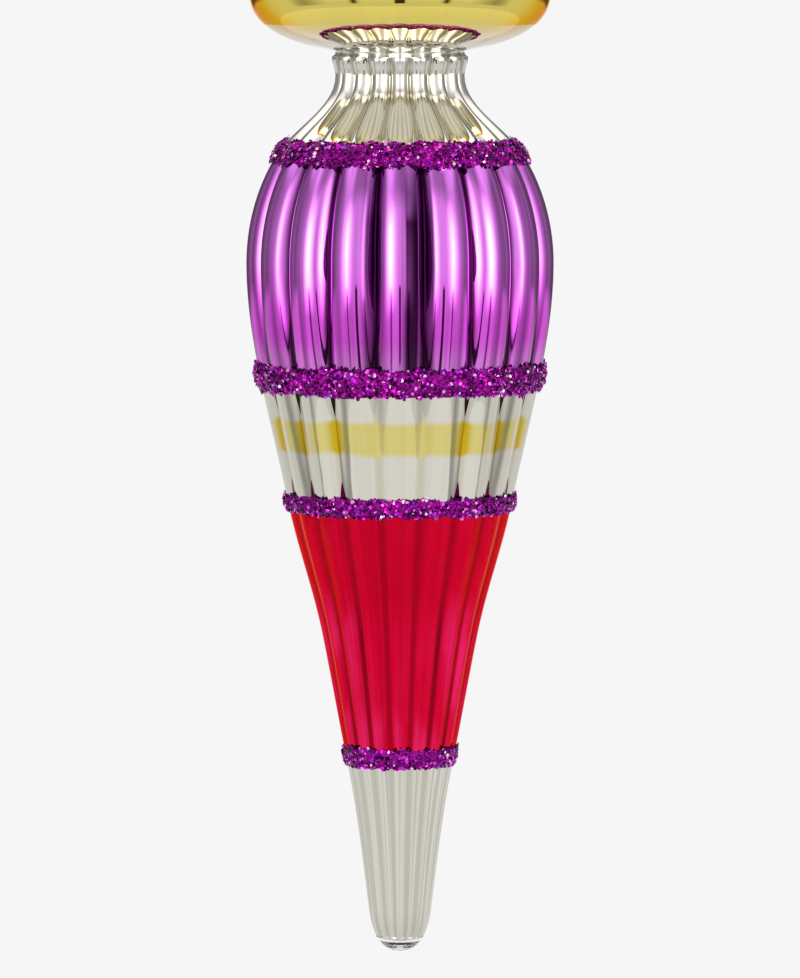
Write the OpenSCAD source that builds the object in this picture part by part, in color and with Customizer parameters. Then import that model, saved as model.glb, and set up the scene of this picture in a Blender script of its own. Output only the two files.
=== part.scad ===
/* [Length of each zone, measured upright] */
// Rounded bead at the bottom, up to where the straight tip starts
nose_len = 8; // [5:0.5:12]
// From the bottom of the bead to the middle of the tip glitter
tip_len = 38.1; // [32:0.1:46]
// Red cone, from the tip glitter to the middle glitter
red_len = 49.3; // [40:0.1:60]
// Silver cone, from the middle glitter to the waist glitter
silver_len = 24.6; // [20:0.1:34]
// Lower part of the bulb, from the waist glitter to its widest place
lower_bulb_len = 22; // [17:0.5:30]
// Upper part of the bulb, from its widest place to the shoulder glitter
upper_bulb_len = 21.5; // [17:0.5:30]
// Shoulder, from its glitter to the narrowest place of the neck
shoulder_len = 14.5; // [12:0.5:20]
// From the narrowest place of the neck to the swelling under the bulge
neck_len = 3.5; // [3:0.25:7]
// From the swelling up to the crease where the ribs end
crease_len = 0.6; // [0.5:0.1:1.6]
// Height of the flattened bulge
bulge_len = 25.8; // [20:0.1:32]
// Plain stem that stands out of the bulge
stem_len = 8; // [6:0.5:12]

/* [Diameter at each place, over the ribs] */
// Top of the rounded bead
nose_d = 12.1; // [9:0.1:15]
// Under the tip glitter
tip_band_d = 21.1; // [17:0.1:26]
// Halfway up the red cone
red_middle_d = 30.7; // [26:0.1:36]
// Under the middle glitter
middle_band_d = 43.7; // [38:0.1:50]
// Under the waist glitter
waist_band_d = 54.7; // [48:0.1:60]
// Widest place of the ribbed bulb
bulb_d = 60; // [54:0.5:70]
// Under the shoulder glitter
shoulder_band_d = 47.2; // [42:0.1:54]
// Narrowest place of the neck
neck_d = 25.2; // [20:0.1:32]
// Swelling where the ribs end, under the bulge
swelling_d = 26.6; // [22:0.1:34]
// Crease between the ribs and the bulge
crease_d = 25; // [18:0.1:30]
// Widest place of the flattened bulge
bulge_d = 58.4; // [52:0.2:70]
// Plain stem
stem_d = 13; // [11:0.25:17]

/* [Slope of the outline] */
// Lean of the tip just above the bead, in degrees from upright
nose_lean = 7; // [4:0.5:10]
// Lean of the cones and of the lower bulb
cone_lean = 11.8; // [9:0.1:15]
// Inward lean of the shoulder at its glitter
shoulder_lean = 34.5; // [26:0.5:44]
// Squareness of the bulge's section, where 2 is an ellipse
bulge_squareness = 2.5; // [2:0.1:3.2]

/* [Ribs] */
// Ribs round the glass
rib_count = 18; // [12:1:20]
// Depth of the grooves on the tip
tip_rib_depth = 0.35; // [0.1:0.05:0.6]
// Depth of the grooves on the red cone
cone_rib_depth = 0.75; // [0.3:0.05:1]
// Depth of the grooves at the waist glitter
waist_rib_depth = 1.4; // [0.8:0.1:2]
// Depth of the grooves on the bulb
bulb_rib_depth = 2.8; // [1.5:0.1:3.5]
// Depth of the grooves at the shoulder glitter
shoulder_rib_depth = 2.1; // [1:0.1:2.6]
// Depth of the grooves on the neck
neck_rib_depth = 1.2; // [0.5:0.1:1.5]
// Share of a rib's width that is taken by its groove
groove_share = 0.3; // [0.2:0.05:0.45]

/* [Glitter bands] */
// Width of the tip glitter
tip_band_w = 4.6; // [3:0.1:6]
// Width of the middle glitter
middle_band_w = 4.4; // [3:0.1:6]
// Width of the waist glitter
waist_band_w = 5.4; // [4:0.1:7]
// Width of the shoulder glitter
shoulder_band_w = 5.8; // [4:0.1:7]
// How far the tip glitter stands out of the ribs
tip_band_out = 0.5; // [0.4:0.1:1]
// How far the middle glitter stands out of the ribs
middle_band_out = 0.7; // [0.4:0.1:1.2]
// How far the waist glitter stands out of the ribs
waist_band_out = 1; // [0.5:0.1:1.5]
// How far the shoulder glitter stands out of the ribs
shoulder_band_out = 1; // [0.5:0.1:1.5]

/* [Stem and cap] */
// Wall of the glass at the stem
stem_wall = 1.2; // [1:0.1:1.8]
// Hollow curve between the bulge and the stem
stem_fillet_r = 1.5; // [0.8:0.1:2]
// Sheet that the cap is drawn from
cap_sheet = 0.35; // [0.25:0.05:0.5]
// Height of the cap's lower edge above the bulge
cap_edge_h = 1.7; // [1.2:0.1:2.5]
// Flare of the cap's lower edge
cap_flare = 0.8; // [0.4:0.1:1.2]
// Rounding of the cap's top corner
cap_corner_r = 1; // [0.8:0.1:1.2]
// Clearance between the cap and the stem
cap_clearance = 0.15; // [0.1:0.05:0.25]

/* [Hanger] */
// Wire of the hanger
wire_d = 1; // [0.8:0.1:1.4]
// Clear width inside the hanger's loop
loop_inside_d = 8.6; // [7:0.2:12]
// Distance between the hanger's legs where they go through the cap
leg_spacing = 3.4; // [3:0.1:4.2]
// Radius of the bends between the loop and the legs
leg_bend_r = 1.6; // [1.3:0.1:2.2]
// Straight leg between the loop's bends and the cap
leg_rise = 0.8; // [0.5:0.1:2]
// Clearance round the wire in the cap's holes
wire_clearance = 0.12; // [0.08:0.02:0.2]
// Radius of the bends where the legs start to spread
splay_bend_r = 3; // [2:0.5:5]
// How far the spread legs reach down the stem
leg_reach = 18; // [14:0.5:24]
// Room below the ends of the legs
leg_room = 2; // [1:0.5:4]

/* [Hidden] */
$fn = 144;

// Heights of the places above the bottom of the bead
tip_band_h = tip_len;
middle_band_h = tip_band_h + red_len;
waist_band_h = middle_band_h + silver_len;
bulb_h = waist_band_h + lower_bulb_len;
shoulder_band_h = bulb_h + upper_bulb_len;
neck_h = shoulder_band_h + shoulder_len;
swelling_h = neck_h + neck_len;
crease_h = swelling_h + crease_len;
bulge_top_h = crease_h + bulge_len;
rim_h = bulge_top_h + stem_len;
cap_top_h = rim_h + cap_sheet;

// Stem and cap
stem_r = stem_d / 2;
bore_r = stem_r - stem_wall;
cap_inside_r = stem_r + cap_clearance;
cap_r = cap_inside_r + cap_sheet;
cap_inner_corner_r = cap_corner_r - cap_sheet;

// Loop of the hanger, the bends under it and the straight stretch through the cap
wire_r = wire_d / 2;
hole_r = wire_r + wire_clearance;
loop_r = loop_inside_d / 2 + wire_r;
leg_x = leg_spacing / 2;
bend_x = leg_x + leg_bend_r;
bend_h = cap_top_h + leg_rise;
bend_turn = acos(bend_x / (loop_r + leg_bend_r));
loop_h = bend_h + (loop_r + leg_bend_r) * sin(bend_turn);
hang_h = loop_h + loop_inside_d / 2;
below_cap = 0.5;
splay_h = rim_h - below_cap;

// The legs bend outwards and run straight until their ends lie against the wall of the stem
leg_end_gap = 0.1;
leg_end_x = bore_r - wire_r - leg_end_gap;
splay_x = leg_x + splay_bend_r;
leg_len = sqrt((leg_end_x - splay_x)^2 + leg_reach^2 - splay_bend_r^2);
leg_splay = 180 - atan2(leg_reach, leg_end_x - splay_x) - atan2(leg_len, splay_bend_r);
bore_bottom_h = splay_h - leg_reach - leg_room;

// Places up the outline: height, radius over the ribs, lean, depth of the grooves, half width of its glitter
fading = 0.4;
crease_lean = 50;
places = [
    [0, 0, 90, 0, 0],
    [nose_len, nose_d / 2, nose_lean, tip_rib_depth * fading, 0],
    [tip_band_h, tip_band_d / 2, cone_lean, tip_rib_depth, tip_band_w / 2],
    [tip_band_h + red_len / 2, red_middle_d / 2, cone_lean, cone_rib_depth, 0],
    [middle_band_h, middle_band_d / 2, cone_lean, cone_rib_depth, middle_band_w / 2],
    [waist_band_h, waist_band_d / 2, cone_lean, waist_rib_depth, waist_band_w / 2],
    [bulb_h, bulb_d / 2, 0, bulb_rib_depth, 0],
    [shoulder_band_h, shoulder_band_d / 2, -shoulder_lean, shoulder_rib_depth, shoulder_band_w / 2],
    [neck_h, neck_d / 2, 0, neck_rib_depth, 0],
    [swelling_h, swelling_d / 2, 0, neck_rib_depth, 0],
    [crease_h, crease_d / 2, -crease_lean, neck_rib_depth * fading, 0]
];
// Rows of facets between one place and the next
row_counts = [5, 3, 3, 3, 2, 4, 5, 5, 2, 2];
// The bottom of the bead is a little fuller than the other stretches
bead_fullness = 1.15;
// The fluted part runs this far into the bulge
bulge_overlap = 1.2;

function mix(a, b, t) = a + (b - a) * t;

// Smooth curve from place a to place b, as height and radius
function curve_point(a, b, t) =
    let (reach = norm([b[0] - a[0], b[1] - a[1]]) * (a[1] == 0 ? bead_fullness : 1))
    (2 * t^3 - 3 * t^2 + 1) * [a[0], a[1]]
    + (t^3 - 2 * t^2 + t) * reach * [cos(a[2]), sin(a[2])]
    + (3 * t^2 - 2 * t^3) * [b[0], b[1]]
    + (t^3 - t^2) * reach * [cos(b[2]), sin(b[2])];

// One row of the fluted glass: height, radius over the ribs, depth of the grooves
function row_at(a, b, t) = concat(curve_point(a, b, t), [mix(a[3], b[3], t)]);

// Share of the way from place a to place b that half a glitter band takes
function band_share(a, b, half_w) = half_w / norm([b[0] - a[0], b[1] - a[1]]);

// Rows above place a up to place b, with a row at each edge of a glitter band
function rows_between(a, b, count) =
    let (first = band_share(a, b, a[4]), last = 1 - band_share(a, b, b[4]))
    [
        for (k = [(a[4] > 0 ? 0 : 1) : count]) row_at(a, b, mix(first, last, k / count)),
        if (b[4] > 0) row_at(a, b, 1)
    ];

glass_rows = [
    for (i = [0 : len(places) - 2]) each rows_between(places[i], places[i + 1], row_counts[i])
];

// Points round one rib, as shares of its width from groove to groove, closer together at the grooves
rib_shares = [0, 0.13, 0.31, 0.5, 0.69, 0.87];
rib_pitch = 360 / rib_count;
front = -90;
points_round = [for (i = [0 : rib_count - 1]) for (share = rib_shares) [share, front + (i + share - 0.5) * rib_pitch]];

// Depth of the surface as a share of the groove's: a wide round rib, then a narrow round groove
function dip(share) =
    let (side = 2 * min(share, 1 - share))
    side < groove_share ? 1 - side^2 / groove_share : (1 - side)^2 / (1 - groove_share);

function ring(row) = [
    for (point = points_round)
        let (r = row[1] - row[2] * dip(point[0]))
        [r * cos(point[1]), r * sin(point[1]), row[0]]
];

// Closed solid through rows of points, from the bottom of the bead or from a flat end, to a flat end
module fluted(rows, from_bead) {
    n = len(points_round);
    first = from_bead ? 1 : 0;
    points = concat(from_bead ? [[0, 0, 0]] : [], [for (row = rows) each ring(row)]);
    faces = concat(
        from_bead ? [for (j = [0 : n - 1]) [0, 1 + j, 1 + (j + 1) % n]] : [[for (j = [0 : n - 1]) j]],
        [
            for (i = [0 : len(rows) - 2])
                for (j = [0 : n - 1])
                    let (p = first + n * i + j, q = first + n * i + (j + 1) % n)
                    each [[p, p + n, q], [q, p + n, q + n]]
        ],
        [[for (j = [n - 1 : -1 : 0]) len(points) - n + j]]
    );
    polyhedron(points, faces, convexity = 6);
}

// Flattened bulge with the open stem on top, as a turned section
module bulge_and_stem() {
    half_h = bulge_len / 2;
    power = 2 / bulge_squareness;
    top_turn = asin(((stem_r + stem_fillet_r) / (bulge_d / 2))^(1 / power));
    steps = 30;
    function outline(turn) = [
        bulge_d / 2 * sin(turn)^power,
        crease_h + half_h + half_h * sign(cos(turn)) * abs(cos(turn))^power
    ];
    fillet_h = outline(top_turn)[1] + stem_fillet_r;
    rotate_extrude()
        polygon(concat(
            [for (k = [0 : steps]) outline(mix(180, top_turn, k / steps))],
            [
                for (turn = [255 : -15 : 180])
                    [stem_r + stem_fillet_r + stem_fillet_r * cos(turn), fillet_h + stem_fillet_r * sin(turn)]
            ],
            [
                for (turn = [0 : 15 : 90])
                    [
                        stem_r - cap_inner_corner_r + cap_inner_corner_r * cos(turn),
                        rim_h - cap_inner_corner_r + cap_inner_corner_r * sin(turn)
                    ]
            ],
            [[bore_r, rim_h], [bore_r, bore_bottom_h], [0, bore_bottom_h]]
        ));
}

module glass_body() {
    last = glass_rows[len(glass_rows) - 1];
    color([0.66, 0.3, 0.76])
        union() {
            fluted(concat(glass_rows, [[last[0] + bulge_overlap, last[1], last[2]]]), true);
            bulge_and_stem();
        }
}

// Bead of glue and glitter round the glass at one place, seated in its grooves
module glitter_band(place, half_w, out) {
    below = places[place - 1];
    here = places[place];
    above = places[place + 1];
    low = row_at(below, here, 1 - band_share(below, here, half_w));
    middle = row_at(below, here, 1);
    high = row_at(here, above, band_share(here, above, half_w));
    run = [high[0] - low[0], high[1] - low[1]];
    outward = [run[0], -run[1]] / norm(run);
    edge = out * 0.35;
    trim = 0.01;
    steps = 8;
    function on_glass(t) =
        t < 0.5
            ? [mix(low[1], middle[1], 2 * t), mix(low[0], middle[0], 2 * t)]
            : [mix(middle[1], high[1], 2 * t - 1), mix(middle[0], high[0], 2 * t - 1)];
    dome = [
        for (k = [0 : steps])
            let (t = mix(trim, 1 - trim, (1 - cos(180 * k / steps)) / 2))
            on_glass(t) + [edge, 0] + outward * (out - edge) * sin(180 * k / steps)
    ];
    inside_r = min(low[1], high[1]) - max(low[2], high[2]) - 1;
    color([0.42, 0.06, 0.5])
        difference() {
            rotate_extrude()
                polygon(concat([[inside_r, dome[0][1]]], dome, [[inside_r, dome[steps][1]]]));
            fluted([low, middle, high], false);
        }
}

module tip_glitter() {
    glitter_band(2, tip_band_w / 2, tip_band_out);
}

module middle_glitter() {
    glitter_band(4, middle_band_w / 2, middle_band_out);
}

module waist_glitter() {
    glitter_band(5, waist_band_w / 2, waist_band_out);
}

module shoulder_glitter() {
    glitter_band(7, shoulder_band_w / 2, shoulder_band_out);
}

// Drawn cap: flat top with two holes for the wire, rounded corner, straight skirt and flared edge
module cap() {
    edge_h = bulge_top_h + cap_edge_h;
    corner_h = cap_top_h - cap_corner_r;
    flare_h = edge_h + cap_flare;
    color([0.85, 0.68, 0.3])
        difference() {
            rotate_extrude()
                polygon(concat(
                    [[0, cap_top_h]],
                    [
                        for (turn = [90 : -15 : 0])
                            [cap_r - cap_corner_r + cap_corner_r * cos(turn), corner_h + cap_corner_r * sin(turn)]
                    ],
                    [[cap_r, flare_h], [cap_r + cap_flare, edge_h], [cap_inside_r + cap_flare, edge_h]],
                    [[cap_inside_r, flare_h]],
                    [
                        for (turn = [0 : 15 : 90])
                            [
                                cap_r - cap_corner_r + cap_inner_corner_r * cos(turn),
                                corner_h + cap_inner_corner_r * sin(turn)
                            ]
                    ],
                    [[0, rim_h]]
                ));
            for (side = [-1, 1])
                translate([side * leg_x, 0, rim_h - cap_sheet])
                    cylinder(h = 3 * cap_sheet, r = hole_r);
        }
}

// Piece of wire bent round the Y axis, from angle start through angle sweep
module wire_bend(r, start, sweep) {
    rotate([90, 0, 0])
        rotate([0, 0, start])
            rotate_extrude(angle = sweep)
                translate([r, 0])
                    circle(wire_r);
}

// Smooth knuckle where two stretches of the wire run into each other
module knuckle() {
    sphere(wire_r + 0.01);
}

module hanger_leg() {
    translate([bend_x, 0, bend_h]) {
        wire_bend(leg_bend_r, 180 - bend_turn, bend_turn);
        rotate([0, bend_turn, 0])
            translate([-leg_bend_r, 0, 0])
                knuckle();
    }
    translate([leg_x, 0, bend_h])
        knuckle();
    translate([leg_x, 0, splay_h]) {
        cylinder(h = bend_h - splay_h, r = wire_r);
        knuckle();
    }
    translate([splay_x, 0, splay_h]) {
        wire_bend(splay_bend_r, 180, leg_splay);
        rotate([0, -leg_splay, 0])
            translate([-splay_bend_r, 0, -leg_len]) {
                cylinder(h = leg_len, r = wire_r);
                translate([0, 0, leg_len])
                    knuckle();
            }
    }
}

module hanger() {
    opening = 90 - bend_turn;
    color([0.75, 0.75, 0.72])
        union() {
            translate([0, 0, loop_h])
                wire_bend(loop_r, opening - 90, 360 - 2 * opening);
            hanger_leg();
            mirror([1, 0, 0])
                hanger_leg();
        }
}

// The origin is the point where the loop hangs on its hook
module hung() {
    translate([0, 0, -hang_h])
        children();
}

hung() glass_body();
hung() tip_glitter();
hung() middle_glitter();
hung() waist_glitter();
hung() shoulder_glitter();
hung() cap();
hung() hanger();
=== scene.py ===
import math
import random

import bmesh
import bpy
from mathutils import Matrix, Vector, noise


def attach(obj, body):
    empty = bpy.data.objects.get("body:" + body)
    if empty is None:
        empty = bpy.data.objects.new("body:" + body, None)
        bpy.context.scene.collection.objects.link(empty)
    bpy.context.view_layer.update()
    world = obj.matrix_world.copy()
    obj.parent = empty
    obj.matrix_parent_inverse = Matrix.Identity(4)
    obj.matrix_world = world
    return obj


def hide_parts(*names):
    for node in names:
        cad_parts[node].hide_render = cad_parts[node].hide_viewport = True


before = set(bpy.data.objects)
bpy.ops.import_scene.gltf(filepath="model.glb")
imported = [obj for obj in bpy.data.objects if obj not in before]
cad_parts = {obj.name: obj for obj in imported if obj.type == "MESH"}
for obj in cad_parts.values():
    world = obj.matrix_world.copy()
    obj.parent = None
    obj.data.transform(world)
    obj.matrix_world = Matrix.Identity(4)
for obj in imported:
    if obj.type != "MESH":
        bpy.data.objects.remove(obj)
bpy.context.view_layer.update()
mm = 0.001
fullTurn = 2 * math.pi
print("frame loaded:", sorted(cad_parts))

# the ornament's outline, in mm up from its tip, as the solids have it
outline = {
    "hangAt": 218.834,  # height of the hanging point, where the frame has its origin
    "ribs": 18,
    "creaseFrom": 0.6,  # share of the way from crest to groove where the crease starts
    "creaseShare": 0.25,  # share of the depth that the crease makes, and the round back the rest
    # height, radius over the ribs, lean in degrees, depth of the grooves and how sharp they are
    "places": [
        (0, 0, 90, 0, 0), (8, 6.05, 7, 0.2, 0), (38.1, 10.55, 11.8, 0.35, 0), (62.75, 15.35, 11.8, 0.55, 0.3),
        (87.4, 21.85, 11.8, 0.65, 0.3), (112, 27.35, 11.8, 1.4, 0.6), (134, 30, 0, 2.8, 1),
        (155.5, 23.6, -34.5, 2.1, 0.9), (170, 12.6, 0, 1.3, 0.6), (173.5, 13.3, 0, 1.0, 0.4),
        (174.1, 12.5, -50, 0.4, 0),
    ],
    "beadFullness": 1.15,  # how much fuller the tip's end is than a plain curve
    "crowding": 0.5,  # how much the columns crowd towards the grooves
}

# camera, at the photograph's angle
camera = {
    "elevation": 4.3,
    "distance": 1.6,
    "aimAt": 90.0,  # mm up from the tip
    "seenHeight": 0.1892,  # what the frame's height takes in, at the ornament's axis
    "sensor": 36.0,
    "clip": (0.05, 50),
}


def heightToZ(height):
    return (height - outline["hangAt"]) * mm


def addObject(name, data):
    made = bpy.data.objects.new(name, data)
    bpy.context.scene.collection.objects.link(made)
    return made


def addCamera(settings):
    data = bpy.data.cameras.new("camera")
    data.sensor_fit = "VERTICAL"
    data.sensor_height = data.sensor_width = settings["sensor"]
    data.lens = settings["sensor"] * settings["distance"] / settings["seenHeight"]
    data.clip_start, data.clip_end = settings["clip"]
    made = addObject("camera", data)
    rise = math.radians(settings["elevation"])
    back = Vector((0, -math.cos(rise), math.sin(rise)))
    made.location = Vector((0, 0, heightToZ(settings["aimAt"]))) + back * settings["distance"]
    made.rotation_euler = (-back).to_track_quat("-Z", "Y").to_euler()
    bpy.context.scene.camera = made


addCamera(camera)
print("camera placed")


# node building
def setInputs(tree, made, inputs):
    for name, value in inputs.items():
        if isinstance(value, bpy.types.NodeSocket):
            tree.links.new(value, made.inputs[name])
        else:
            made.inputs[name].default_value = value


def addNode(tree, kind, inputs=None, **settings):
    made = tree.nodes.new("ShaderNode" + kind)
    for name, value in settings.items():
        setattr(made, name, value)
    setInputs(tree, made, inputs or {})
    return made


def addRamp(tree, factor, stops):
    made = addNode(tree, "ValToRGB", {"Fac": factor})
    points = made.color_ramp.elements
    while len(points) < len(stops):
        points.new(1.0)
    for point, (place, colour) in zip(points, stops):
        point.position = place
        point.color = (*colour, 1.0)
    return made.outputs["Color"]


# stops of a ramp that holds plain levels, from their places on the whole
def levelStops(levels, whole, gain=1.0):
    return [(place / whole, (level * gain,) * 3) for place, level in levels]


def addMath(tree, operation, *values):
    return addNode(tree, "Math", dict(enumerate(values)), operation=operation).outputs[0]


def addMix(tree, factor, first, second):
    first, second = ((*end, 1.0) if isinstance(end, tuple) else end for end in (first, second))
    made = addNode(tree, "Mix", {0: factor, 6: first, 7: second}, data_type="RGBA")
    return made.outputs[2]


# turns one range of a value into another
def addRange(tree, value, ends, results=(0.0, 1.0), kind="LINEAR"):
    inputs = dict(enumerate((value, *ends, *results)))
    return addNode(tree, "MapRange", inputs, interpolation_type=kind).outputs[0]


def addSmooth(tree, value, ends):
    return addRange(tree, value, ends, kind="SMOOTHSTEP")


def newMaterial(name):
    made = bpy.data.materials.new(name)
    made.use_nodes = True
    made.node_tree.nodes.clear()
    return made, made.node_tree


def finishMaterial(tree, inputs):
    shader = addNode(tree, "BsdfPrincipled", inputs)
    addNode(tree, "OutputMaterial", {"Surface": shader.outputs[0]})


def newGroup(name, inputs, outputs):
    made = bpy.data.node_groups.new(name, "ShaderNodeTree")
    for label, kind, value in inputs:
        socket = made.interface.new_socket(label, in_out="INPUT", socket_type="NodeSocket" + kind)
        socket.default_value = value
    for label, kind in outputs:
        made.interface.new_socket(label, in_out="OUTPUT", socket_type="NodeSocket" + kind)
    return made, made.nodes.new("NodeGroupInput"), made.nodes.new("NodeGroupOutput")


def useGroup(tree, group, inputs):
    made = tree.nodes.new("ShaderNodeGroup")
    made.node_tree = group
    setInputs(tree, made, inputs)
    return made.outputs


# uneven surface that hand-blown glass, glue and pressed metal each have: size and height in m, and detail
def makeUnevenness():
    group, start, end = newGroup(
        "unevenness",
        [("Size", "Float", 0.01), ("Height", "Float", 0.00001), ("Detail", "Float", 2.0)],
        [("Normal", "Vector"), ("Mask", "Float")],
    )
    place = addNode(group, "TexCoord").outputs["Object"]
    scale = addMath(group, "DIVIDE", 1.0, start.outputs["Size"])
    texture = addNode(group, "TexNoise", {"Vector": place, "Scale": scale, "Detail": start.outputs["Detail"]})
    bump = addNode(group, "Bump", {
        "Strength": 1.0, "Distance": start.outputs["Height"], "Height": texture.outputs["Fac"],
    })
    group.links.new(bump.outputs["Normal"], end.inputs["Normal"])
    group.links.new(texture.outputs["Fac"], end.inputs["Mask"])
    return group


unevenness = makeUnevenness()


def useUnevenness(tree, size, height, detail):
    return useGroup(tree, unevenness, {"Size": size, "Height": height, "Detail": detail})


# curve from one place of the outline to the next
def curvePoint(below, above, share):
    fullness = outline["beadFullness"] if below[1] == 0 else 1
    reach = math.dist(below[:2], above[:2]) * fullness
    weights = (
        2 * share**3 - 3 * share**2 + 1,
        (share**3 - 2 * share**2 + share) * reach,
        3 * share**2 - 2 * share**3,
        (share**3 - share**2) * reach,
    )
    leans = [math.radians(below[2]), math.radians(above[2])]
    heights = (below[0], math.cos(leans[0]), above[0], math.cos(leans[1]))
    radii = (below[1], math.sin(leans[0]), above[1], math.sin(leans[1]))
    height = sum(weight * part for weight, part in zip(weights, heights))
    radius = sum(weight * part for weight, part in zip(weights, radii))
    return height, radius, *(low + (high - low) * share for low, high in zip(below[3:], above[3:]))


# how deep the surface lies, from 0 on a rib's crest to 1 in a groove
# the soft form is a wave, and the sharp one a round back with a crease
def dipAt(angle, sharpness):
    share = ((angle + math.pi / 2) / fullTurn * outline["ribs"] + 0.5) % 1
    aside = 1 - 2 * min(share, 1 - share)
    soft = math.sin(math.pi / 2 * aside) ** 2
    crease = max(0, (aside - outline["creaseFrom"]) / (1 - outline["creaseFrom"]))
    part = outline["creaseShare"]
    sharp = (1 - part) * aside**2 + part * math.sin(math.pi / 2 * crease) ** 2
    return soft + (sharp - soft) * sharpness


def newPiece(name, bm, smooth=True):
    for face in bm.faces:
        face.smooth = smooth
    mesh = bpy.data.meshes.new(name)
    bm.to_mesh(mesh)
    bm.free()
    return addObject(name, mesh)


# moves a turn round the axis towards the nearest groove, so that the creases have more columns
def crowded(angle):
    ribs = outline["ribs"]
    return angle + outline["crowding"] * math.sin((angle + math.pi / 2) * ribs) / ribs


# spins a line of points round the axis
def spinPoints(bm, points, columns, closed=False):
    following = points[1:] + points[:1] if closed else points[1:]
    edges = [bm.edges.new(pair) for pair in zip(points, following)]
    bmesh.ops.spin(
        bm, geom=points + edges, cent=(0, 0, 0), axis=(0, 0, 1), angle=fullTurn, steps=columns, use_merge=True
    )
    bmesh.ops.remove_doubles(bm, verts=bm.verts, dist=0.000001)


# turns rows round the axis, and presses the grooves in
def turnRows(rows, columns):
    bm = bmesh.new()
    layers = [bm.verts.layers.float.new(name) for name in ("depth", "sharpness", "groove")]
    points = []
    for height, radius, *pressed in rows:
        point = bm.verts.new((0, -radius * mm, heightToZ(height)))
        for layer, value in zip(layers, pressed):
            point[layer] = value
        points.append(point)
    spinPoints(bm, points, columns)
    depth, sharpness, groove = layers
    for point in bm.verts:
        radius = math.hypot(point.co.x, point.co.y)
        if point[depth] > 0 and radius > 0:
            angle = crowded(math.atan2(point.co.y, point.co.x))
            dip = dipAt(angle, point[sharpness])
            radius -= point[depth] * mm * dip
            point.co.xy = radius * math.cos(angle), radius * math.sin(angle)
            point[groove] = dip
    bmesh.ops.recalc_face_normals(bm, faces=bm.faces)
    return bm


# silvered glass: fluted from the tip to the neck, then the bulge and the open stem
glass = {
    "columns": 432,
    "rows": [14, 22, 18, 18, 18, 18, 18, 14, 6, 4],  # rows of faces from each place to the next
    "silverEnd": 2.6,  # mm up from the tip, where the lining ends at the surface
    "liningEnd": 1.2,  # lowest point of the lining, inside the clear bead
    "liningSteps": 6,
    "beadColumns": 144,
    "beadGap": 0.02,
    "bulgeRows": 36,
    "bulgeRadius": 29.2,
    "bulgeHeight": 25.8,
    "bulgeSquareness": 2.5,  # 2 is an ellipse, and more is fuller
    "bulgeGroove": 0.3,  # the grooves fade out over the bulge's underside
    "bulgeGrooveEnd": 23.0,  # radius where they are gone
    "stemRadius": 6.5,
    "stemBore": 5.3,
    "stemFillet": 1.5,
    "rimAt": 207.9,
    "rimRounding": 0.65,
    "boreBottom": 187.4,
    "filletTurns": (240, 225, 210, 195, 180),
    "rimTurns": (0, 30, 60, 90),
}


def flutedRows():
    places = outline["places"]
    rows = []
    for below, above, count in zip(places, places[1:], glass["rows"]):
        rows += [curvePoint(below, above, step / count) for step in range(count)]
    return rows


def bulgeRows():
    crease = outline["places"][-1]
    power = 2 / glass["bulgeSquareness"]
    halfHeight = glass["bulgeHeight"] / 2
    stem, fillet, radius = glass["stemRadius"], glass["stemFillet"], glass["bulgeRadius"]
    topTurn = math.asin(((stem + fillet) / radius) ** (1 / power))
    first = math.pi - math.asin((crease[1] / radius) ** (1 / power))
    rows = []
    for step in range(glass["bulgeRows"] + 1):
        turn = first + (topTurn - first) * step / glass["bulgeRows"]
        rise = math.copysign(abs(math.cos(turn)) ** power, math.cos(turn))
        rowRadius = radius * math.sin(turn) ** power
        fade = max(0, (glass["bulgeGrooveEnd"] - rowRadius) / (glass["bulgeGrooveEnd"] - crease[1]))
        groove = glass["bulgeGroove"] * min(1, fade) if rise < 0 else 0
        rows.append((crease[0] + halfHeight * (1 + rise), rowRadius, groove, 0))
    filletAt = rows[-1][0] + fillet
    for degrees in glass["filletTurns"]:
        turn = math.radians(degrees)
        rows.append((filletAt + fillet * math.sin(turn), stem + fillet + fillet * math.cos(turn)))
    rim, rounding, bore = glass["rimAt"], glass["rimRounding"], glass["stemBore"]
    for degrees in glass["rimTurns"]:
        turn = math.radians(degrees)
        rows.append((rim - rounding + rounding * math.sin(turn), stem - rounding + rounding * math.cos(turn)))
    bottom = glass["boreBottom"]
    rows += [(rim, bore), (bottom + bore, bore), (bottom, bore), (bottom, 0)]
    return rows


# the lining's end is a small dome from the surface down to the axis
def liningRows(edge):
    steps = glass["liningSteps"]
    rows = []
    for step in range(steps):
        turn = math.pi / 2 * step / steps
        rows.append((edge[0] - (edge[0] - glass["liningEnd"]) * math.cos(turn), edge[1] * math.sin(turn)))
    return rows


allRows = flutedRows()
silvered = [row for row in allRows if row[0] > glass["silverEnd"]]
beadOutside = [row for row in allRows if row[0] <= glass["silverEnd"]] + [silvered[0]]
glassRows = liningRows(silvered[0]) + silvered + bulgeRows()
body = newPiece("glass", turnRows(glassRows, glass["columns"]))
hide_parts("glass_body")
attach(body, "root")
print("glass turned:", len(body.data.polygons), "faces")

beadTop = [(height - glass["beadGap"], radius) for height, radius in reversed(liningRows(silvered[0]))]
bead = newPiece("tip_bead", turnRows(beadOutside + beadTop, glass["beadColumns"]))
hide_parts("glass_body")
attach(bead, "root")
print("bead turned")


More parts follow.
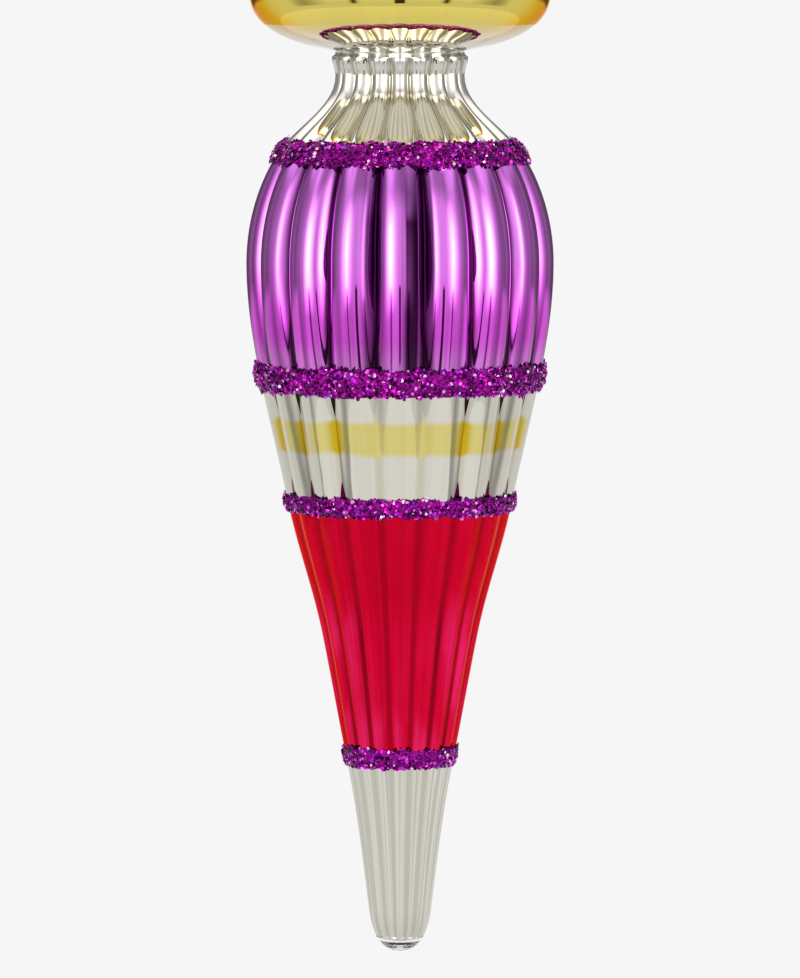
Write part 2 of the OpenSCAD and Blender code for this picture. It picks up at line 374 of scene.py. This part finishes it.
# streaks along the ribs, as brushed lacquer has: width at the named radius and length in m, and detail
def makeStreaks():
    group, start, end = newGroup(
        "streaks",
        [
            ("Width", "Float", 0.002), ("Length", "Float", 0.03), ("Radius", "Float", 0.02),
            ("Detail", "Float", 2.0),
        ],
        [("Mask", "Float")],
    )
    place = addNode(group, "TexCoord").outputs["Object"]
    level = addNode(group, "VectorMath", {0: place, 1: (1, 1, 0)}, operation="MULTIPLY").outputs[0]
    turned = addNode(group, "VectorMath", {0: level}, operation="NORMALIZE").outputs[0]
    across = addMath(group, "DIVIDE", start.outputs["Radius"], start.outputs["Width"])
    height = addNode(group, "SeparateXYZ", {"Vector": place}).outputs["Z"]
    along = addMath(group, "DIVIDE", height, start.outputs["Length"])
    along = addNode(group, "CombineXYZ", {"Z": along}).outputs[0]
    scaled = addNode(group, "VectorMath", {0: turned, "Scale": across}, operation="SCALE").outputs[0]
    scaled = addNode(group, "VectorMath", {0: scaled, 1: along}, operation="ADD").outputs[0]
    texture = addNode(group, "TexNoise", {"Vector": scaled, "Scale": 1.0, "Detail": start.outputs["Detail"]})
    group.links.new(texture.outputs["Fac"], end.inputs["Mask"])
    return group


streaks = makeStreaks()


def useStreaks(tree, width, length, detail):
    return useGroup(tree, streaks, {"Width": width, "Length": length, "Detail": detail})["Mask"]


# lacquer over the silver, by height: its colour on the ribs, and in the grooves, where pooled lacquer and
# painted shade darken it
lacquer = {
    # up to a height in mm, the colours and how much the streaks show; None is where two zones blend
    # the last colour of each zone is its painted edge sheen or shade, seen aslant
    "zoneParts": ["height", "ribs", "grooves", "streaks", "paintedEdge"],
    "zones": [
        (38.1, (0.70, 0.68, 0.60), (0.55, 0.53, 0.46), 0.5, (0.68, 0.66, 0.58)),
        (62, (0.70, 0.0, 0.032), (0.16, 0.0, 0.006), 0.35, (0.95, 0.05, 0.065)),
        (70, None, None, None, None),
        (87.4, (0.65, 0.0, 0.024), (0.40, 0.0, 0.012), 0.35, (0.90, 0.04, 0.055)),
        (112, (0.71, 0.69, 0.61), (0.60, 0.57, 0.47), 0.1, (0.71, 0.69, 0.61)),
        (116, (0.80, 0.22, 0.83), (0.06, 0.002, 0.05), 0.7, (0.38, 0.07, 0.38)),
        (120, None, None, None, None),
        (124, (0.79, 0.10, 0.81), (0.05, 0.001, 0.04), 0.7, (0.36, 0.04, 0.36)),
        (136, None, None, None, None),
        (155.5, (0.75, 0.205, 0.84), (0.06, 0.002, 0.055), 0.6, (0.40, 0.09, 0.44)),
        # the shoulder's silver is painted lighter, making up for the darker reflections there
        (164, (0.90, 0.88, 0.81), (0.62, 0.59, 0.48), 0.0, (0.84, 0.82, 0.74)),
        (168, None, None, None, None),
        (175.5, (0.74, 0.72, 0.64), (0.52, 0.49, 0.39), 0.0, (0.74, 0.72, 0.64)),
        (181, None, None, None, None),
        (218, (0.80, 0.66, 0.15), (0.60, 0.42, 0.03), 0.06, (0.74, 0.43, 0.008)),
    ],
    "zoneStep": 0.0001,  # share of the height over which one zone turns into the next
    "paintedEdge": (0.42, 0.8),  # from square on to edge on, where the painted edge sheen and shade comes in
    "grooveAslant": 0.7,  # share of the grooves' pooled lacquer and painted shade that keeps its colour aslant
    "goldFrom": 180.0,  # height from which the edge tint is gold
    "lumps": (0.008, 0.00004, 1.0),
    "fineStreaks": (0.0012, 0.09, 2.0),
    "streakShade": [(0.36, 0.56), (0.5, 1.06)],  # range of the streaks, and how dark and light they make it
    "softGroove": (0.42, 0.0, 0.014),  # grooves of the red in the middle and at the sides
    "amber": (0.71, 0.62, 0.22),
    "pooledAmber": (0.62, 0.42, 0.012),
    "amberFrom": 98.2,
    "amberTo": 104.2,
    "amberEdge": 0.65,
    "amberPooling": (0.3, 0.85),
    "amberWander": 2.0,  # mm that its edges wander at most
    "amberSpread": 0.4,  # mm that it runs further in the grooves
    "poolAndShadeDepth": (0.62, 0.96),  # depth in the groove from which lacquer pools and painted shade darkens it
    "evenWithin": (4.0, 9.0),  # mm aside of the middle, between which amber and glue start to pool and the red's grooves take painted shade
    # glue that ran along the grooves: height where it starts, how far it reaches, colour
    "runs": [(89.0, 4.4, (0.10, 0.002, 0.05)), (109.8, -5.0, (0.03, 0.012, 0.006))],
    "runGroove": (0.82, 0.2),  # depth in the groove where a run is widest, and how much it narrows
    # painted dark reflections of the dark studio, down the bulb's ribs: from and to degrees round from the
    # front, and how dark
    "paintedDarkReflections": [
        (-14.2, -8.2, 0.85), (1.4, 7.2, 1.0), (7.8, 13.4, 0.78), (47.5, 50.5, 0.5), (67.0, 71.5, 0.7),
        (88.0, 92.0, 0.9), (124.0, 131.5, 0.7), (168.0, 172.5, 0.9), (-32.0, -29.0, 0.3), (-52.0, -48.5, 0.5),
        (-93.0, -88.0, 0.8), (-133.0, -126.0, 0.7), (-151.5, -148.0, 0.5),
    ],
    "paintedDarkSoft": 1.2,  # degrees over which its edge fades
    # heights over which the painted dark reflections show, and their colour
    "paintedDarkHeights": [(111.6, 0.0), (112, 0.95), (143, 1.0), (147, 0.8), (155, 0.5), (157, 0.0)],
    "paintedDarkReflection": (0.014, 0.0, 0.014),
    "redZone": (38.1, 87.4),
    "redZoneSoft": 0.22,
    "redEdge": (1.0, 0.34, 0.3),  # what the red turns into where it is seen aslant
    "goldEdge": (1.0, 0.55, 0.12),
    "paintedSheen": (0.86, 0.016, 0.13),  # painted sheen on the red, by height in the middle and aside of it
    "sheenMiddle": [(37.2, 0.0), (38.1, 1.0), (44, 0.8), (50, 0.15), (60, 0.1), (70, 0.0)],
    "sheenAside": [(37.2, 0.0), (42, 0.2), (50, 0.9), (60, 1.0), (66, 0.5), (72, 0.0)],
    "sheenAcross": (7.0, 10.5),  # mm aside of the middle, between which one turns into the other
    "sheenStreaks": (0.006, 0.016, 1.0),
    "sheenPatches": (0.35, 0.6),
    "roughness": 0.035,
    "coat": 0.2,
    "coatRoughness": 0.02,
    "coatIndex": 1.2,
}


# ramp over the height with one part of the zones
def zoneRamp(tree, share, part):
    full = outline["hangAt"]
    column = lacquer["zoneParts"].index(part)
    stops, start = [], 0
    for zone in lacquer["zones"]:
        value = zone[column]
        if value is not None:
            value = value if isinstance(value, tuple) else (value,) * 3
            stops += [(start / full + lacquer["zoneStep"], value), (zone[0] / full, value)]
        start = zone[0]
    return addRamp(tree, share, stops)


def heightRamp(tree, share, levels):
    return addRamp(tree, share, levelStops(levels, outline["hangAt"]))


# where the amber stripe lies: its edges wander, and run further in the grooves
def amberShare(tree, height, lumps, poolAndShade):
    wander = addMath(tree, "SUBTRACT", lumps["Mask"], 0.5)
    wander = addMath(tree, "MULTIPLY", wander, lacquer["amberWander"] * mm)
    spread = addMath(tree, "MULTIPLY", poolAndShade, -lacquer["amberSpread"] * mm)
    middle = heightToZ((lacquer["amberFrom"] + lacquer["amberTo"]) / 2)
    half = (lacquer["amberTo"] - lacquer["amberFrom"]) / 2
    edge = lacquer["amberEdge"]
    away = addMath(tree, "SUBTRACT", addMath(tree, "ADD", height, wander), middle)
    away = addMath(tree, "ADD", addMath(tree, "ABSOLUTE", away), spread)
    return addSmooth(tree, away, ((half + edge) * mm, (half - edge) * mm))


# where the red gets its painted sheen: in patches, low down in the middle and higher up beside it
def paintedSheenShare(tree, share, outer):
    patches = addSmooth(tree, useStreaks(tree, *lacquer["sheenStreaks"]), lacquer["sheenPatches"])
    inMiddle = heightRamp(tree, share, lacquer["sheenMiddle"])
    beside = heightRamp(tree, share, lacquer["sheenAside"])
    return addMath(tree, "MULTIPLY", patches, addMix(tree, outer, inMiddle, beside))


# the red's grooves have painted shade only between the middle and the sides
def softShare(tree, share, aside, outer):
    low, high = lacquer["redZone"]
    soft = lacquer["redZoneSoft"]
    inRed = heightRamp(tree, share, [(low - soft, 0), (low, 1), (high, 1), (high + soft, 0)])
    dark = addMath(tree, "MULTIPLY", aside, addMath(tree, "SUBTRACT", 1.0, outer))
    return addMath(tree, "MULTIPLY", inRed, addMath(tree, "SUBTRACT", 1.0, dark))


def addRuns(tree, colour, height, groove, aside):
    widest, narrowing = lacquer["runGroove"]
    for start, reach, runColour in lacquer["runs"]:
        along = addRange(tree, height, (heightToZ(start), heightToZ(start + reach)))
        depth = addMath(tree, "MULTIPLY_ADD", along, narrowing, widest)
        inside = addMath(tree, "GREATER_THAN", groove, depth)
        started = addMath(tree, "MULTIPLY", addMath(tree, "GREATER_THAN", along, 0.0), inside)
        run = addMath(tree, "MULTIPLY", addMath(tree, "GREATER_THAN", aside, 0.5), started)
        colour = addMix(tree, run, colour, runColour)
    return colour


def paintGlass(name, edgeTint):
    material, tree = newMaterial(name)
    place = addNode(tree, "TexCoord").outputs["Object"]
    across, _, height = addNode(tree, "SeparateXYZ", {"Vector": place}).outputs
    across = addMath(tree, "ABSOLUTE", across)
    share = addMath(tree, "ADD", addMath(tree, "DIVIDE", height, outline["hangAt"] * mm), 1.0)
    groove = addNode(tree, "Attribute", attribute_name="groove").outputs["Fac"]
    poolAndShade = addSmooth(tree, groove, lacquer["poolAndShadeDepth"])
    lumps = useUnevenness(tree, *lacquer["lumps"])
    aside = addRange(tree, across, [end * mm for end in lacquer["evenWithin"]])
    outer = addSmooth(tree, across, [end * mm for end in lacquer["sheenAcross"]])

    amber = amberShare(tree, height, lumps, poolAndShade)
    amberPooled = addMath(tree, "MULTIPLY", aside, addSmooth(tree, groove, lacquer["amberPooling"]))
    amberColour = addMix(tree, amberPooled, lacquer["amber"], lacquer["pooledAmber"])
    onRibs = addMix(tree, amber, zoneRamp(tree, share, "ribs"), amberColour)
    # painted sheen on the red's ribs
    onRibs = addMix(tree, paintedSheenShare(tree, share, outer), onRibs, lacquer["paintedSheen"])
    inGrooves = addMix(
        tree, softShare(tree, share, aside, outer), zoneRamp(tree, share, "grooves"), lacquer["softGroove"]
    )
    inGrooves = addMix(tree, amber, inGrooves, amberColour)

    shade = addRange(tree, useStreaks(tree, *lacquer["fineStreaks"]), *lacquer["streakShade"])
    streaked = addNode(tree, "VectorMath", {0: onRibs, 1: shade}, operation="MULTIPLY").outputs[0]
    onRibs = addMix(tree, zoneRamp(tree, share, "streaks"), onRibs, streaked)
    # the grooves get their pooled lacquer and painted shade
    colour = addMix(tree, poolAndShade, onRibs, inGrooves)

    # painted edge sheen and shade: the colour turns to the zone's edge colour where the surface is seen
    # aslant
    facing = addNode(tree, "LayerWeight", {"Blend": 0.5}).outputs["Facing"]
    paintedEdge = addSmooth(tree, facing, lacquer["paintedEdge"])
    flat = addMath(tree, "SUBTRACT", 1.0, addMath(tree, "MULTIPLY", poolAndShade, lacquer["grooveAslant"]))
    colour = addMix(tree, addMath(tree, "MULTIPLY", paintedEdge, flat), colour, zoneRamp(tree, share, "paintedEdge"))

    # painted dark reflections: these stripes turn the colour towards their dark colour
    paintedDark = addNode(tree, "Attribute", attribute_name="paintedDarkReflection").outputs["Fac"]
    paintedDark = addMath(tree, "MULTIPLY", paintedDark, heightRamp(tree, share, lacquer["paintedDarkHeights"]))
    colour = addMix(tree, paintedDark, colour, lacquer["paintedDarkReflection"])
    colour = addRuns(tree, colour, height, groove, aside)
    finishMaterial(tree, {
        "Base Color": colour, "Metallic": 1.0, "Roughness": lacquer["roughness"], "Normal": lumps["Normal"],
        "Coat Weight": lacquer["coat"], "Coat Roughness": lacquer["coatRoughness"],
        "Coat IOR": lacquer["coatIndex"], "Specular Tint": (*edgeTint, 1),
    })
    return material


# gives each point its share of the painted dark reflection stripes, by its turn round from the front
def addPaintedDarkReflections(mesh):
    layer = mesh.attributes.new("paintedDarkReflection", "FLOAT", "POINT")
    soft = lacquer["paintedDarkSoft"]
    for point, item in zip(mesh.vertices, layer.data):
        turn = math.degrees(math.atan2(point.co.x, -point.co.y))
        for start, end, dark in lacquer["paintedDarkReflections"]:
            inside = min(turn - start, end - turn) / soft + 0.5
            item.value = max(item.value, dark * min(1, max(0, inside)))


addPaintedDarkReflections(body.data)
body.data.materials.append(paintGlass("silvered_glass", (1, 1, 1)))
body.data.materials.append(paintGlass("red_glass", lacquer["redEdge"]))
body.data.materials.append(paintGlass("gold_glass", lacquer["goldEdge"]))
redLow, redHigh = (heightToZ(height) for height in lacquer["redZone"])
goldLow = heightToZ(lacquer["goldFrom"])
for face in body.data.polygons:
    if redLow < face.center.z < redHigh:
        face.material_index = 1
    elif face.center.z > goldLow:
        face.material_index = 2


# bead of glass without silver at the tip
clear = {
    "colour": (0.97, 0.92, 0.89),
    "index": 1.5,
    "uneven": (0.003, 0.00001, 1.0),
}


def paintBead():
    material, tree = newMaterial("clear_glass")
    uneven = useUnevenness(tree, *clear["uneven"])
    finishMaterial(tree, {
        "Base Color": (*clear["colour"], 1), "Roughness": 0.0, "IOR": clear["index"],
        "Transmission Weight": 1.0, "Normal": uneven["Normal"],
    })
    return material


bead.data.materials.append(paintBead())
print("glass painted")

# bands of glue and glitter
glitter = {
    # the outline's place each one stands on, how far it reaches down and up and how thick it is in mm
    "bands": [
        {"name": "tip_glitter", "place": 2, "reach": (1.5, 2.2), "out": 0.5, "flakes": 900},
        {"name": "middle_glitter", "place": 4, "reach": (1.4, 2.0), "out": 0.7, "flakes": 1700},
        {"name": "waist_glitter", "place": 5, "reach": (2.7, 2.6), "out": 1.0, "flakes": 3600},
        {"name": "shoulder_glitter", "place": 7, "reach": (2.7, 2.5), "out": 0.8, "flakes": 3100},
    ],
    "edgeOut": 0.35,  # share of the thickness at the edges
    "follow": 0.5,  # how much the glue follows the grooves
    "sunk": 0.3,  # mm that the glue reaches into the glass
    "columns": 432,
    "steps": 8,
    "ragged": 0.3,  # how much the edges wander, in how many waves, and how different it is on each band
    "raggedWaves": 9,
    "raggedApart": 7.0,
    "lump": 0.12,  # mm that the glue's lumps rise, and how many there are in a metre
    "lumpsPerMetre": 900,
    "glueUneven": (0.0005, 0.0003, 2.0),
    "glueTones": [(0.35, (0.04, 0.0, 0.04)), (0.65, (0.32, 0.0, 0.28))],
    "glueMetallic": 0.85,
    "glueRoughness": 0.35,
    "flakeRadius": (0.2, 0.46),
    "flakeThickness": 0.07,
    "flakeSides": 6,
    "flakeTaper": 0.85,
    "flakeShare": (-0.04, 1.04),  # place across the band, from its lower edge to its upper one
    "flakeLift": (-0.1, 0.22),  # mm off the glue
    "tilt": 34,
    "batch": 40,
    # colours of the flakes by their tone, most of them dark, and a few that catch the light
    "flakeTones": [
        (0.0, (0.015, 0.0, 0.02)), (0.28, (0.05, 0.0, 0.06)), (0.45, (0.32, 0.0, 0.28)),
        (0.7, (0.75, 0.01, 0.60)), (0.78, (0.28, 0.02, 0.66)), (0.88, (0.95, 0.06, 0.80)),
        (0.95, (0.95, 0.40, 0.88)), (1.0, (1.0, 0.85, 1.0)),
    ],
    "flakeUneven": (0.0003, 0.00001, 1.0),
    "flakeMetallic": 0.95,
    "flakeRoughness": 0.16,
}


def bandRows(band):
    places = outline["places"]
    below, here, above = places[band["place"] - 1 : band["place"] + 2]
    down, up = band["reach"]
    low = curvePoint(below, here, 1 - down / math.dist(below[:2], here[:2]))
    high = curvePoint(here, above, up / math.dist(here[:2], above[:2]))
    return low, (here[0], here[1], *here[3:]), high


# point of a band's outer side, share 0 at its lower edge and 1 at its upper one
def onBand(band, rows, share, angle, lift=0.0):
    low, middle, high = rows
    waves = glitter["raggedWaves"]
    place = math.cos(angle) * waves, math.sin(angle) * waves, band["place"] * glitter["raggedApart"]
    wander = noise.noise(Vector(place))
    share = 0.5 + (share - 0.5) * (1 + glitter["ragged"] * wander)
    first, second, part = (low, middle, 2 * share) if share < 0.5 else (middle, high, 2 * share - 1)
    height, radius, depth, sharpness = (a + (b - a) * part for a, b in zip(first, second))
    run = Vector((high[0] - low[0], high[1] - low[1])).normalized()
    outwards = Vector((-run.y, run.x))
    edge = band["out"] * glitter["edgeOut"]
    out = edge + (band["out"] - edge) * math.sin(math.pi * min(max(share, 0), 1)) + lift
    radius += out * outwards.y - depth * glitter["follow"] * dipAt(angle, sharpness)
    height += out * outwards.x
    return Vector((radius * math.cos(angle) * mm, radius * math.sin(angle) * mm, heightToZ(height)))


def makeGlue(band, rows):
    low, middle, high = rows
    steps = glitter["steps"]
    bm = bmesh.new()
    shareLayer = bm.verts.layers.float.new("share")  # 0 inside, and 1 more than the share outside
    points = []
    for step in range(steps + 1):
        point = bm.verts.new(onBand(band, rows, step / steps, -math.pi / 2))
        point[shareLayer] = step / steps + 1
        points.append(point)
    for height, radius, depth, sharpness in (high, middle, low):
        points.append(bm.verts.new((0, -(radius - depth - glitter["sunk"]) * mm, heightToZ(height))))
    spinPoints(bm, points, glitter["columns"], closed=True)
    for point in bm.verts:
        if point[shareLayer] >= 1:
            angle = math.atan2(point.co.y, point.co.x)
            lump = glitter["lump"] * noise.noise(point.co * glitter["lumpsPerMetre"])
            point.co = onBand(band, rows, point[shareLayer] - 1, angle, lump)
    bmesh.ops.recalc_face_normals(bm, faces=bm.faces)
    return newPiece(band["name"].replace("glitter", "glue"), bm)


# in batches, because each flake looks for its own new faces among those of its batch
def makeFlakes(band, rows, draw):
    whole, batch = bmesh.new(), bpy.data.meshes.new("batch")
    for first in range(0, band["flakes"], glitter["batch"]):
        bm = bmesh.new()
        tone = bm.faces.layers.float.new("tone")
        for _ in range(min(glitter["batch"], band["flakes"] - first)):
            addFlake(bm, tone, band, rows, draw)
        bm.to_mesh(batch)
        bm.free()
        whole.from_mesh(batch)
    bpy.data.meshes.remove(batch)
    return newPiece(band["name"].replace("glitter", "flakes"), whole, smooth=False)


def addFlake(bm, tone, band, rows, draw):
    angle = draw.uniform(-math.pi, math.pi)
    share = draw.uniform(*glitter["flakeShare"])
    here = onBand(band, rows, share, angle, draw.uniform(*glitter["flakeLift"]))
    outwards = (here - onBand(band, rows, share, angle, lift=-0.5)).normalized()
    turned = outwards.to_track_quat("Z", "Y").to_matrix().to_4x4()
    lean = Matrix.Rotation(math.radians(draw.gauss(0, glitter["tilt"])), 4, "X")
    spinRound = Matrix.Rotation(draw.uniform(0, fullTurn), 4, "Z")
    size = draw.uniform(*glitter["flakeRadius"])
    bmesh.ops.create_cone(
        bm, cap_ends=True, cap_tris=False, segments=glitter["flakeSides"], radius1=size * mm,
        radius2=size * glitter["flakeTaper"] * mm, depth=glitter["flakeThickness"] * mm,
        matrix=Matrix.Translation(here) @ turned @ spinRound @ lean,
    )
    value = draw.uniform(0.01, 1)  # above 0, which marks a new face
    for face in bm.faces:
        if face[tone] == 0:
            face[tone] = value


def paintGlue():
    material, tree = newMaterial("purple_glue")
    uneven = useUnevenness(tree, *glitter["glueUneven"])
    finishMaterial(tree, {
        "Base Color": addRamp(tree, uneven["Mask"], glitter["glueTones"]), "Normal": uneven["Normal"],
        "Metallic": glitter["glueMetallic"], "Roughness": glitter["glueRoughness"],
    })
    return material


def paintFlakes():
    material, tree = newMaterial("purple_glitter")
    tone = addNode(tree, "Attribute", attribute_name="tone").outputs["Fac"]
    uneven = useUnevenness(tree, *glitter["flakeUneven"])
    finishMaterial(tree, {
        "Base Color": addRamp(tree, tone, glitter["flakeTones"]), "Normal": uneven["Normal"],
        "Metallic": glitter["flakeMetallic"], "Roughness": glitter["flakeRoughness"],
    })
    return material


glueMaterial, flakeMaterial = paintGlue(), paintFlakes()
for band in glitter["bands"]:
    rows = bandRows(band)
    glue = makeGlue(band, rows)
    glue.data.materials.append(glueMaterial)
    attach(glue, "root")
    flakes = makeFlakes(band, rows, random.Random(band["place"]))
    flakes.data.materials.append(flakeMaterial)
    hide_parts(band["name"])
    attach(flakes, "root")
    print(band["name"], "made:", len(flakes.data.polygons), "flake faces")

# pressed cap and wire hanger keep their solids
metal = {
    "brass": {
        "node": "cap",
        "tones": [(0.35, (0.66, 0.48, 0.18)), (0.6, (0.80, 0.62, 0.28))],
        "roughness": (0.28, 0.11),
        "uneven": (0.0015, 0.00003, 4.0),
    },
    "steel": {
        "node": "hanger",
        "tones": [(0.35, (0.48, 0.48, 0.46)), (0.6, (0.62, 0.62, 0.60))],
        "roughness": (0.34, 0.17),
        "uneven": (0.0015, 0.00003, 4.0),
    },
}


def paintMetal(name, values):
    material, tree = newMaterial(name)
    uneven = useUnevenness(tree, *values["uneven"])
    finishMaterial(tree, {
        "Base Color": addRamp(tree, uneven["Mask"], values["tones"]), "Normal": uneven["Normal"],
        "Metallic": 1.0, "Roughness": addRange(tree, uneven["Mask"], (0.0, 1.0), values["roughness"]),
    })
    return material


for name, values in metal.items():
    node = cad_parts[values["node"]]
    node.data.materials.clear()
    node.data.materials.append(paintMetal(name, values))
print("cap and hanger painted")

# studio: pale round table, white surroundings, two soft lamps, and a light tent that only reflections see
studio = {
    "white": 0.922,
    "ambient": 0.72,
    "floorDrop": 80.0,  # mm below the tip
    "floorRadius": 0.42,
    "floorColour": 0.86,
    "floorFade": (0.06, 0.42),  # m from the middle, between which the floor turns into the white around it
    "centre": 134.0,  # mm above the tip, the middle of the tent
    "tentRadius": 3.0,
    # brightness of the tent's wall by degrees round from the camera, as a share of white
    "wall": [
        (0, 1.0), (58, 1.0), (70, 0.7), (80, 0.48), (90, 0.38), (100, 0.28), (115, 0.4), (127, 0.28),
        (150, 0.15), (160, 0.15), (165, 1.0), (180, 1.0),
    ],
    "lightTurn": 37.0,  # bright light on each side
    "lightSpread": 10.0,
    "lightGain": 4.6,
    "lightLow": (-15.0, -6.0),
    "lightHigh": (12.0, 38.0),
    "lowerShade": [(-24.0, -8.0), (0.8, 1.0)],  # the wall is darker towards the table
    "standTurn": 37.0,  # dark stand under each light
    "standSpread": 2.2,
    "standTop": (-8.0, -10.5),
    "standDark": 0.92,
    # the tent's roof, dark over the camera and bright round it, with an even top
    "roof": [(0, 0.5), (24, 0.55), (48, 1.25), (180, 1.25)],
    "roofGain": 2.0,  # a ramp holds levels up to 1 only
    "roofFrom": (28.0, 44.0),
    "roofTop": (56.0, 72.0),
    "tableEdge": (-27.0, -22.0),  # degrees of rise where the table ends in front, and behind
    "tableEdgeBehind": (-9.5, -5.5),
    "behindFrom": (80, 100),
    "below": 0.83,
    # dark stand of the camera: how far it reaches aside, and the degrees down between which it is seen
    "tripodAside": (5.0, 3.0),
    "tripodFrom": (-26.0, -24.0),
    "tripodTo": (-7.0, -9.0),
    "tripodDark": 0.95,
    "lampTurn": 40,
    "lampRise": 0.5,
    "lampDistance": 1.5,
    "lampSize": 0.5,
    "lampPower": 6.0,
}


def stagePiece(name, bm):
    made = newPiece(name, bm)
    material, tree = newMaterial(name)
    made.data.materials.append(material)
    return made, tree


def hideFromCamera(made):
    made.visible_camera = made.visible_diffuse = made.visible_shadow = made.visible_volume_scatter = False


def addFloor():
    bm = bmesh.new()
    low = heightToZ(-studio["floorDrop"])
    bmesh.ops.create_circle(
        bm, cap_ends=True, radius=studio["floorRadius"], segments=128, matrix=Matrix.Translation((0, 0, low))
    )
    tree = stagePiece("floor", bm)[1]
    shade = studio["floorColour"]
    pale = addNode(tree, "BsdfPrincipled", {"Base Color": (shade, shade, shade, 1), "Roughness": 0.9})
    white = addNode(tree, "Emission", {"Color": (1, 1, 1, 1), "Strength": studio["white"]})
    place = addNode(tree, "TexCoord").outputs["Object"]
    level = addNode(tree, "VectorMath", {0: place, 1: (1, 1, 0)}, operation="MULTIPLY").outputs[0]
    away = addNode(tree, "VectorMath", {0: level}, operation="LENGTH").outputs["Value"]
    faded = addSmooth(tree, away, studio["floorFade"])
    shader = addNode(tree, "MixShader", {0: faded, 1: pale.outputs[0], 2: white.outputs[0]})
    addNode(tree, "OutputMaterial", {"Surface": shader.outputs[0]})


def smoothBetween(tree, value, degrees):
    return addSmooth(tree, value, [math.radians(end) for end in degrees])


def addBlend(tree, factor, first, second):
    return addNode(tree, "Mix", {0: factor, 2: first, 3: second}).outputs[0]


# soft strip round the turn of a light or a stand
def softSpot(tree, turn, name):
    away = addMath(tree, "SUBTRACT", turn, math.radians(studio[name + "Turn"]))
    away = addMath(tree, "DIVIDE", away, math.radians(studio[name + "Spread"]))
    return addMath(tree, "EXPONENT", addMath(tree, "MULTIPLY", addMath(tree, "MULTIPLY", away, away), -0.5))


def addTent():
    bm = bmesh.new()
    centre = heightToZ(studio["centre"])
    bmesh.ops.create_uvsphere(
        bm, u_segments=64, v_segments=32, radius=studio["tentRadius"],
        matrix=Matrix.Translation((0, 0, centre)),
    )
    made, tree = stagePiece("light_tent", bm)
    hideFromCamera(made)
    place = addNode(tree, "TexCoord").outputs["Object"]
    x, y, z = addNode(tree, "SeparateXYZ", {"Vector": place}).outputs
    turn = addMath(tree, "ABSOLUTE", addMath(tree, "ARCTAN2", x, addMath(tree, "MULTIPLY", y, -1.0)))
    away = addMath(tree, "ADD", addMath(tree, "MULTIPLY", x, x), addMath(tree, "MULTIPLY", y, y))
    rise = addMath(tree, "ARCTAN2", addMath(tree, "SUBTRACT", z, centre), addMath(tree, "SQRT", away))
    halfTurn = addMath(tree, "DIVIDE", turn, math.pi)

    light = addMath(tree, "MULTIPLY", softSpot(tree, turn, "light"), studio["lightGain"])
    light = addMath(tree, "MULTIPLY", light, smoothBetween(tree, rise, studio["lightLow"]))
    light = addMath(tree, "MULTIPLY", light, smoothBetween(tree, rise, studio["lightHigh"][::-1]))
    stand = smoothBetween(tree, rise, studio["standTop"])
    stand = addMath(tree, "MULTIPLY", softSpot(tree, turn, "stand"), stand)
    beside = addMath(tree, "SUBTRACT", 1.0, addMath(tree, "MULTIPLY", stand, studio["standDark"]))
    degrees, levels = studio["lowerShade"]
    lower = addRange(tree, rise, [math.radians(end) for end in degrees], levels)
    wall = addMath(tree, "ADD", addRamp(tree, halfTurn, levelStops(studio["wall"], 180)), light)
    wall = addMath(tree, "MULTIPLY", addMath(tree, "MULTIPLY", wall, lower), beside)

    gain = studio["roofGain"]
    roof = addRamp(tree, halfTurn, levelStops(studio["roof"], 180, 1 / gain))
    roof = addMath(tree, "MULTIPLY", roof, gain)
    roof = addBlend(tree, smoothBetween(tree, rise, studio["roofTop"]), roof, studio["roof"][-1][1])
    level = addBlend(tree, smoothBetween(tree, rise, studio["roofFrom"]), wall, roof)

    behind = smoothBetween(tree, turn, studio["behindFrom"])
    edge, edgeBehind = (smoothBetween(tree, rise, studio[name]) for name in ("tableEdge", "tableEdgeBehind"))
    level = addBlend(tree, addBlend(tree, behind, edge, edgeBehind), studio["below"], level)

    tripod = smoothBetween(tree, turn, studio["tripodAside"])
    for name in ("tripodFrom", "tripodTo"):
        tripod = addMath(tree, "MULTIPLY", tripod, smoothBetween(tree, rise, studio[name]))
    tripod = addMath(tree, "SUBTRACT", 1.0, addMath(tree, "MULTIPLY", tripod, studio["tripodDark"]))
    level = addMath(tree, "MULTIPLY", level, tripod)
    shader = addNode(tree, "Emission", {
        "Color": (1, 1, 1, 1), "Strength": addMath(tree, "MULTIPLY", level, studio["white"]),
    })
    addNode(tree, "OutputMaterial", {"Surface": shader.outputs[0]})


def addLamp(side):
    data = bpy.data.lights.new("lamp", "AREA")
    data.size = studio["lampSize"]
    data.energy = studio["lampPower"]
    made = addObject("lamp", data)
    turn = math.radians(side * studio["lampTurn"])
    away = Vector((math.sin(turn), -math.cos(turn), studio["lampRise"]))
    made.location = Vector((0, 0, heightToZ(studio["centre"]))) + away * studio["lampDistance"]
    made.rotation_euler = away.to_track_quat("Z", "Y").to_euler()
    made.visible_glossy = False  # the tent has their image


def addWorld():
    world = bpy.data.worlds.new("studio")
    bpy.context.scene.world = world
    world.use_nodes = True
    tree = world.node_tree
    tree.nodes.clear()
    path = addNode(tree, "LightPath").outputs
    seen = addMath(tree, "MAXIMUM", path["Is Camera Ray"], path["Is Glossy Ray"])
    seen = addMath(tree, "MAXIMUM", seen, path["Is Transmission Ray"])
    strength = addRange(tree, seen, (0.0, 1.0), (studio["ambient"], studio["white"]))
    shader = addNode(tree, "Background", {"Color": (1, 1, 1, 1), "Strength": strength})
    addNode(tree, "OutputWorld", {"Surface": shader.outputs[0]})


addFloor()
addTent()
addLamp(-1)
addLamp(1)
addWorld()
bpy.context.scene.view_settings.view_transform = "Standard"
print("studio built")
